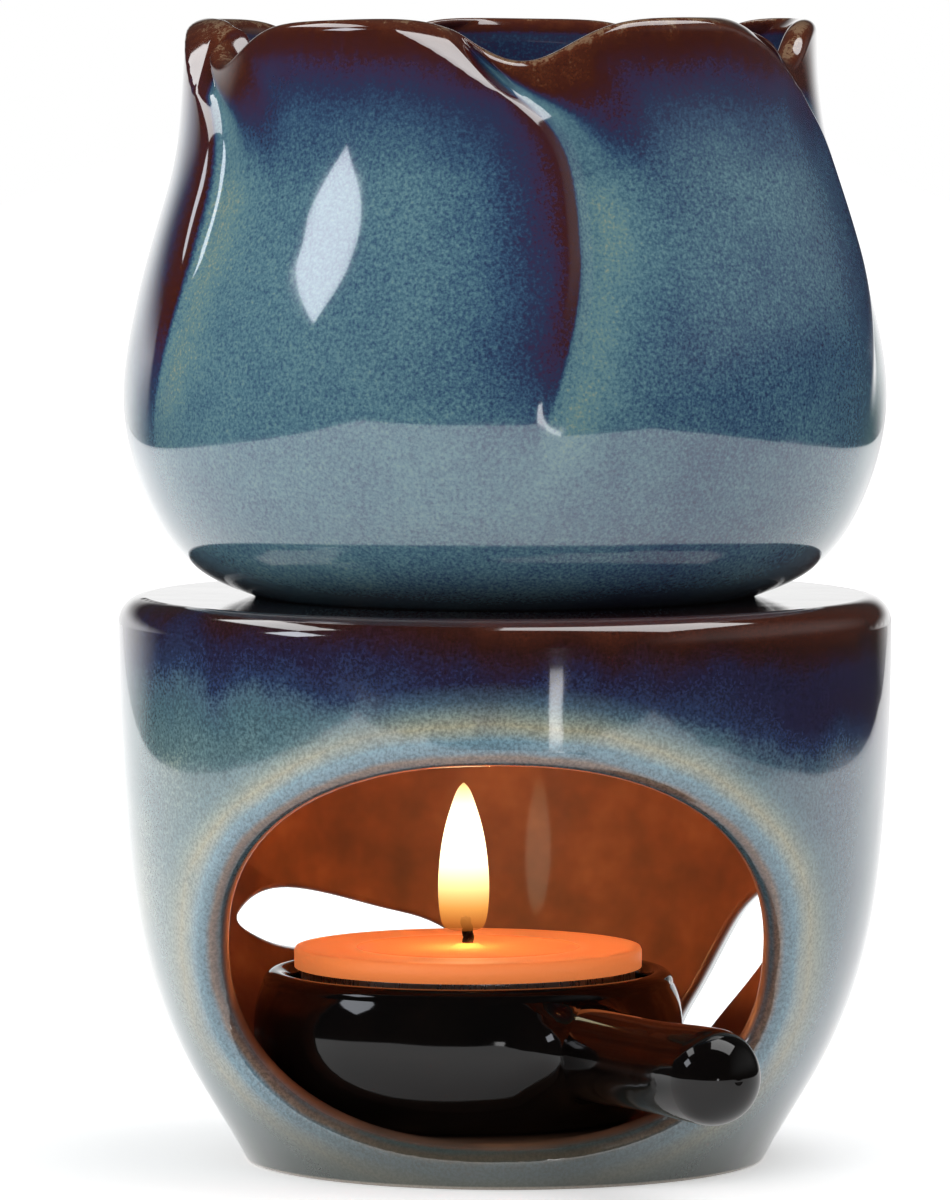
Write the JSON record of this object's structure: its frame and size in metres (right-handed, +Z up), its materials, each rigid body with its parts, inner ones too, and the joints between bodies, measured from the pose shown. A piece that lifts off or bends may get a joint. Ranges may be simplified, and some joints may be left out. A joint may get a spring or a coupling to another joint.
{
  "type": "essential oil burner",
  "caption": "Ceramic oil burner: tulip-shaped oil bowl on a round stand with a large front opening and leaf-shaped vents, warmed by a tealight in a handled dish.",
  "frame": {"origin": "centre of the stand's foot, on the surface that the burner stands on", "axes": "+Z up, -Y out of the large front opening, +X to the right as seen from the front"},
  "size_m": [0.088, 0.0964, 0.13],
  "materials": {
    "stand_glaze": "glossy reactive glaze, grey-blue speckle that breaks brown at edges",
    "bowl_glaze": "glossy reactive glaze, teal blue that breaks red-brown at ridges",
    "dish_glaze": "glossy black glaze",
    "cup_metal": "bright pressed foil-gauge sheet",
    "wax": "soft salmon-orange wax, satin where molten",
    "wick_cotton": "braided cotton, charred at its tip",
    "sustainer_metal": "thin tinned sheet"
  },
  "bodies": {
    "stand": {"stand": "stand_glaze"},
    "bowl": {"tulip_bowl": "bowl_glaze"},
    "dish": {"candle_dish": "dish_glaze"},
    "tealight": {"tealight_cup": "cup_metal", "tealight_wax": "wax", "wick": "wick_cotton", "wick_sustainer": "sustainer_metal"}
  },
  "joints": [
    {"name": "bowl_lift", "type": "slide", "parent": "stand", "child": "bowl", "axis": [0, 0, 1], "range_m": [0, 0.04]},
    {"name": "dish_slide", "type": "slide", "parent": "stand", "child": "dish", "axis": [0.113, -0.9203, 0.3746], "range_m": [0, 0.075]},
    {"name": "tealight_lift", "type": "slide", "parent": "dish", "child": "tealight", "axis": [0, 0, 1], "range_m": [0, 0.016]}
  ]
}
